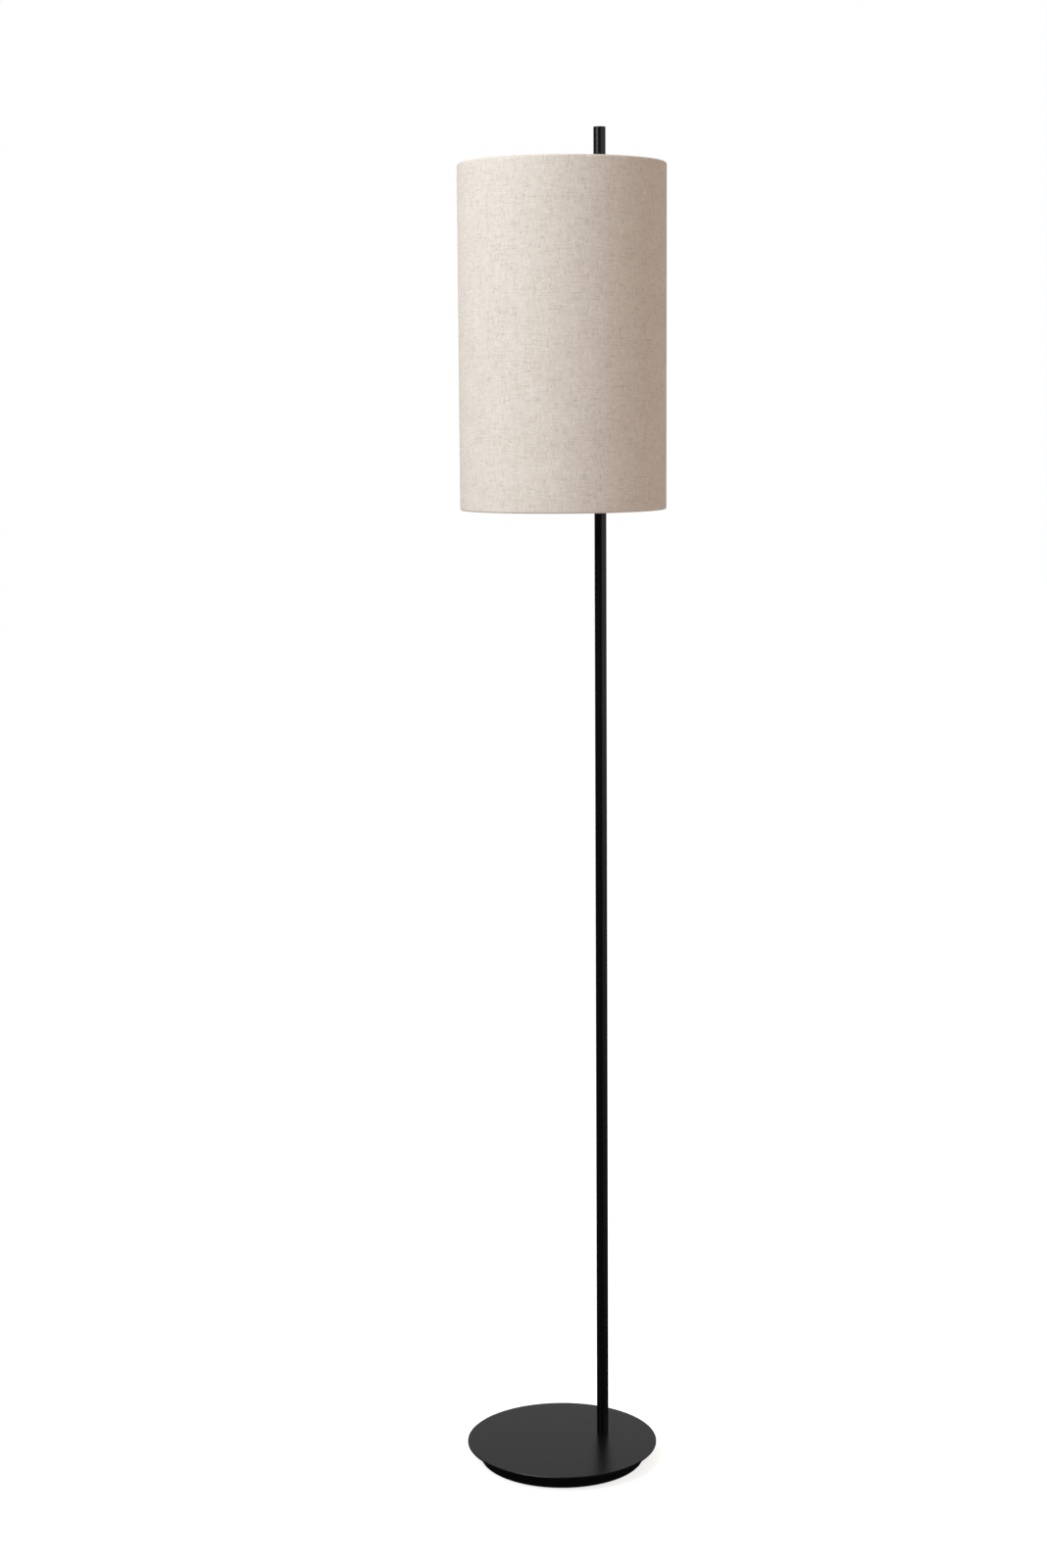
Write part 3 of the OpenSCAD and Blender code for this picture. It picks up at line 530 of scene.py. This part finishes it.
def prism(mesh, corners, start, depth):
    """A closed prism from a list of corners, pushed along depth from the point start."""
    first = [mesh.verts.new(start + corner) for corner in corners]
    last = [mesh.verts.new(start + corner + depth) for corner in corners]
    mesh.faces.new(first)
    mesh.faces.new(last)
    for i in range(len(corners)):
        j = (i + 1) % len(corners)
        mesh.faces.new((first[i], first[j], last[j], last[i]))


def cut_copy(name, node, slot, cutter):
    """A copy of a CAD node with the cutter's prisms taken out of it, which stands for it."""
    bmesh.ops.recalc_face_normals(cutter, faces=cutter.faces)
    cutter_data = bpy.data.meshes.new("cutter")
    cutter.to_mesh(cutter_data)
    cutter.free()
    tool = bpy.data.objects.new("cutter", cutter_data)
    work = bpy.data.objects.new("work", frame["nodes"][node].data.copy())
    for obj in (tool, work):
        bpy.context.scene.collection.objects.link(obj)
    boolean = work.modifiers.new("drive", "BOOLEAN")
    boolean.object = tool
    boolean.operation = "DIFFERENCE"
    boolean.solver = "EXACT"
    depsgraph = bpy.context.evaluated_depsgraph_get()
    cut = bmesh.new()
    cut.from_mesh(work.evaluated_get(depsgraph).to_mesh())
    bpy.data.objects.remove(work)
    bpy.data.objects.remove(tool)
    data = finished(cut, name)
    data.materials.clear()
    piece(name, data, "root", slot, [node])


def cross_recesses():
    """Cross recess in the head of each cover screw."""
    low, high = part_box("cover_screws")
    middle = (low + high) / 2
    out = (high.x - low.x) / 2 - COVER_HEAD_R
    cutter = bmesh.new()
    arm, edge = CROSS_LENGTH / 2, CROSS_WIDTH / 2
    cross = [Vector((x, y, 0)) for x, y in (
        (arm, -edge), (arm, edge), (edge, edge), (edge, arm), (-edge, arm), (-edge, edge),
        (-arm, edge), (-arm, -edge), (-edge, -edge), (-edge, -arm), (edge, -arm), (edge, -edge))]
    for side_x in (-1, 1):
        for side_y in (-1, 1):
            head = Vector((middle.x + side_x * out, middle.y + side_y * out, low.z - CROSS_DEPTH))
            prism(cutter, cross, head, Vector((0, 0, 2 * CROSS_DEPTH)))
    cut_copy("cross_screws", "cover_screws", "zinc_steel", cutter)


def hex_sockets():
    """Hexagon socket in the outer end of each grub screw."""
    low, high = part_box("grub_screws")
    corner_r = GRUB_FLATS / math.sqrt(3)
    corners = [Vector((0, corner_r * math.cos(math.radians(60 * i)),
                       corner_r * math.sin(math.radians(60 * i)))) for i in range(6)]
    cutter = bmesh.new()
    for z in (low.z + GRUB_R, high.z - GRUB_R):
        end = Vector((high.x - GRUB_SOCKET, (low.y + high.y) / 2, z))
        prism(cutter, corners, end, Vector((2 * GRUB_SOCKET, 0, 0)))
    cut_copy("socket_grub_screws", "grub_screws", "black_screw", cutter)


cross_recesses()
hex_sockets()


# ---- Shade cloth ----

def shade_cloth():
    """One strip of linen: stretched round the liner, lapped at the back and rolled round both
    hoops, with a notch in the lower roll for each arm of the spider."""
    low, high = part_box("shade_cloth")
    hoop_low, hoop_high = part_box("bottom_hoop")
    wire_r = (hoop_high.z - hoop_low.z) / 2
    outer_r = high.x
    wall_r = outer_r - CLOTH_T / 2
    roll_r = (hoop_low.z - low.z) + wire_r - CLOTH_T / 2
    hoop_r = wall_r - roll_r
    bottom_z = low.z + roll_r + CLOTH_T / 2
    top_z = high.z - roll_r - CLOTH_T / 2

    # the profile runs from the lower tucked edge, out and up, to the upper tucked edge
    profile = []
    for i in range(ROLL_STEPS + 1):
        turn = math.radians(360 - ROLL_TURN + ROLL_TURN * i / ROLL_STEPS)
        profile.append((hoop_r + roll_r * math.cos(turn), bottom_z + roll_r * math.sin(turn), turn))
    for i in range(1, WALL_STEPS):
        profile.append((wall_r, bottom_z + (top_z - bottom_z) * i / WALL_STEPS, 0.0))
    for i in range(ROLL_STEPS + 1):
        turn = math.radians(ROLL_TURN * i / ROLL_STEPS)
        profile.append((hoop_r + roll_r * math.cos(turn), top_z + roll_r * math.sin(turn), turn))
    run = [0.0]
    for (r0, z0, _), (r1, z1, _) in zip(profile, profile[1:]):
        run.append(run[-1] + math.hypot(r1 - r0, z1 - z0))

    # stations along the strip, with extra ones at the sides of each notch
    width = 2 * math.pi * wall_r + LAP
    seam = math.radians(SEAM_DIRECTION) - LAP / 2 / wall_r
    stations = [width * i / ROUND_STEPS for i in range(ROUND_STEPS + 1)]
    notches = []
    for arm in ARM_DIRECTIONS:
        middle = ((math.radians(arm) - seam) % (2 * math.pi)) * wall_r
        half = (ARM_WIRE_R + WELD_GAP) * wall_r / (hoop_r - roll_r)
        notches.append((middle - half, middle + half))
    columns = sorted(u for u in stations
                     if not any(a - NOTCH_MARGIN < u < b + NOTCH_MARGIN for a, b in notches))
    columns = sorted(columns + [x for a, b in notches for x in (a, (a + b) / 2, b)])
    roll_rows = int((NOTCH_TURN - (360 - ROLL_TURN)) / ROLL_TURN * ROLL_STEPS)

    mesh = bmesh.new()
    uv = mesh.loops.layers.uv.new("cloth")
    grid = []
    for u in columns:
        angle = seam + u / wall_r
        lap = min(max((u - (width - LAP - LAP_RAMP)) / LAP_RAMP, 0.0), 1.0)
        rise = LAP_RISE * lap * lap * (3 - 2 * lap)
        column = []
        for r, z, turn in profile:
            radius = r + rise * math.cos(turn)
            height = z + rise * math.sin(turn)
            column.append(mesh.verts.new((radius * math.cos(angle), radius * math.sin(angle),
                                          height)))
        grid.append(column)
    for i in range(len(columns) - 1):
        middle = (columns[i] + columns[i + 1]) / 2
        notched = any(a < middle < b for a, b in notches)
        for j in range(len(profile) - 1):
            if notched and j < roll_rows:
                continue
            face = mesh.faces.new((grid[i][j], grid[i + 1][j], grid[i + 1][j + 1], grid[i][j + 1]))
            face.smooth = True
            places = ((i, j), (i + 1, j), (i + 1, j + 1), (i, j + 1))
            for corner, (a, b) in zip(face.loops, places):
                corner[uv].uv = (columns[a], run[b])
    bmesh.ops.delete(mesh, geom=[v for v in mesh.verts if not v.link_faces], context="VERTS")
    data = bpy.data.meshes.new("linen_cloth")
    mesh.to_mesh(data)
    mesh.free()
    cloth = piece("linen_cloth", data, "shade", "linen", ["shade_cloth"])
    thickness = cloth.modifiers.new("thickness", "SOLIDIFY")
    thickness.thickness = CLOTH_T
    thickness.offset = 0.0
    thickness.use_even_offset = True


shade_cloth()


# ---- Stage ----

# Directions of the photograph: right and away from the camera, on the floor

camera_turn = math.radians(CAMERA_TURN)
RIGHT = Vector((math.cos(camera_turn), -math.sin(camera_turn), 0.0))
AWAY = Vector((math.sin(camera_turn), math.cos(camera_turn), 0.0))
UP = Vector((0.0, 0.0, 1.0))
HEAD = Vector((0.0, 0.0, (CAD_BOX[0].z + CAD_BOX[1].z) * HEAD_SHARE))


def from_lamp(aside):
    """Level direction from the lamp, in degrees right of the camera."""
    angle = math.radians(aside)
    return RIGHT * math.sin(angle) - AWAY * math.cos(angle)


def seen_direct(graph):
    """1 for camera and transmission rays, which see the white background."""
    path = graph.add("LightPath").outputs
    return graph.math("MAXIMUM", path["Is Camera Ray"], path["Is Transmission Ray"])


def seen_in_gloss(graph, place):
    """What glossy rays see at this place or in this direction: the white background behind the
    lamp, a lit wall on the right, and the unlit studio on the camera's side."""
    ahead = graph.add("VectorMath", {0: place}, operation="NORMALIZE").outputs[0]
    behind = graph.add("VectorMath", {0: ahead, 1: AWAY}, operation="DOT_PRODUCT").outputs["Value"]
    aside = graph.add("VectorMath", {0: ahead, 1: RIGHT}, operation="DOT_PRODUCT").outputs["Value"]
    rise = graph.add("SeparateXYZ", {0: ahead}).outputs["Z"]
    background = graph.math("MULTIPLY", graph.clamped(behind, *BEHIND_FADE, STUDIO_DARK, 1.0),
                            graph.clamped(rise, *CEILING_FADE, 1.0, CEILING))
    facing = graph.math("MULTIPLY", graph.clamped(aside, *ASIDE_FADE, 0.0, SIDE_WALL),
                        graph.clamped(behind, *WALL_FRONT, 1.0, WALL_FAR))
    wall = graph.math("MULTIPLY", facing, graph.clamped(rise, *WALL_FOOT, FLOOR_SHARE, 1.0))
    level = graph.math("MAXIMUM", background, wall)
    return graph.add("Emission", {"Color": WHITE, "Strength": level})


def make_floor():
    """A pale floor that takes the lamp's shadow; from below it isn't there."""
    half = FLOOR_HALF
    mesh = bpy.data.meshes.new("floor")
    corners = [(-half, -half, 0), (half, -half, 0), (half, half, 0), (-half, half, 0)]
    mesh.from_pydata(corners, [], [(0, 1, 2, 3)])
    floor = bpy.data.objects.new("floor", mesh)
    bpy.context.scene.collection.objects.link(floor)
    material = bpy.data.materials.new("pale_floor")
    material.use_nodes = True
    material.node_tree.nodes.clear()
    g = Graph(material)
    matt = g.add("BsdfDiffuse", {"Color": rgb(FLOOR_COLOUR, FLOOR_COLOUR, FLOOR_COLOUR)})
    glow_level = g.math("MULTIPLY", seen_direct(g), FLOOR_GLOW)
    glow = g.add("Emission", {"Color": WHITE, "Strength": glow_level})
    lit = g.add("AddShader", {0: matt.outputs[0], 1: glow.outputs[0]})
    in_gloss = g.add("LightPath").outputs["Is Glossy Ray"]
    from_pole = g.add("VectorMath", {0: g.place(), 1: UP * POLE_MIDDLE},
                      operation="SUBTRACT").outputs[0]
    floor_seen = g.add("MixShader", {0: in_gloss, 1: lit.outputs[0],
                                     2: seen_in_gloss(g, from_pole).outputs[0]})
    below = g.add("NewGeometry").outputs["Backfacing"]
    gone = g.add("BsdfTransparent")
    shown = g.add("MixShader", {0: below, 1: floor_seen.outputs[0], 2: gone.outputs[0]})
    g.add("OutputMaterial", {"Surface": shown.outputs[0]})
    mesh.materials.append(material)


def make_world():
    """White where it is seen, and a plain ambient level for the rest."""
    world = bpy.data.worlds.new("studio")
    world.use_nodes = True
    world.node_tree.nodes.clear()
    bpy.context.scene.world = world
    g = Graph(world)
    ambient = g.add("Background", {"Color": AMBIENT_TINT, "Strength": AMBIENT_LEVEL})
    white = g.add("Background", {"Color": WHITE, "Strength": 1.0})
    plain = g.add("MixShader", {0: seen_direct(g), 1: ambient.outputs[0], 2: white.outputs[0]})
    direction = g.add("TexCoord").outputs["Generated"]
    in_gloss = g.add("LightPath").outputs["Is Glossy Ray"]
    both = g.add("MixShader", {0: in_gloss, 1: plain.outputs[0],
                               2: seen_in_gloss(g, direction).outputs[0]})
    g.add("OutputWorld", {"Surface": both.outputs[0]})


def softbox(name, stand, size, level, colour, glossy):
    """An area light aimed at the lamp's head; only a glossy one shows in reflections."""
    aside, distance, height = stand
    place = from_lamp(aside) * distance + UP * height
    reach = (place - HEAD).length
    data = bpy.data.lights.new(name, "AREA")
    data.shape = "RECTANGLE"
    data.size, data.size_y = size
    data.energy = level * math.pi ** 2 * reach ** 2
    data.color = colour
    light = bpy.data.objects.new(name, data)
    bpy.context.scene.collection.objects.link(light)
    aim = (place - HEAD).to_track_quat("Z", "Y").to_matrix().to_4x4()
    light.matrix_world = Matrix.Translation(place) @ aim
    light.visible_camera = False
    light.visible_glossy = glossy


def make_camera():
    """The photograph's viewpoint, level of the shade's lower half and tilted down."""
    data = bpy.data.cameras.new("camera")
    data.sensor_fit = "AUTO"
    data.sensor_width = SENSOR_WIDTH
    data.lens = FOCAL_PIXELS * SENSOR_WIDTH / FRAME_LONG_SIDE
    data.clip_end = VIEW_DEPTH
    camera = bpy.data.objects.new("camera", data)
    bpy.context.scene.collection.objects.link(camera)
    forward = AWAY * math.cos(CAMERA_PITCH) - UP * math.sin(CAMERA_PITCH)
    above = AWAY * math.sin(CAMERA_PITCH) + UP * math.cos(CAMERA_PITCH)
    side = RIGHT * math.cos(CAMERA_ROLL) + above * math.sin(CAMERA_ROLL)
    top = above * math.cos(CAMERA_ROLL) - RIGHT * math.sin(CAMERA_ROLL)
    place = RIGHT * CAMERA_ASIDE - AWAY * CAMERA_AWAY + UP * CAMERA_HEIGHT
    axes = Matrix((side, top, -forward)).transposed()
    camera.matrix_world = Matrix.Translation(place) @ axes.to_4x4()
    bpy.context.scene.camera = camera


make_floor()
make_world()
softbox("key", KEY_PLACE, KEY_SIZE, KEY_LEVEL, KEY_TINT, glossy=True)
softbox("panel", PANEL_PLACE, PANEL_SIZE, PANEL_LEVEL, PANEL_TINT, glossy=False)
make_camera()
bpy.context.scene.view_settings.view_transform = "Standard"
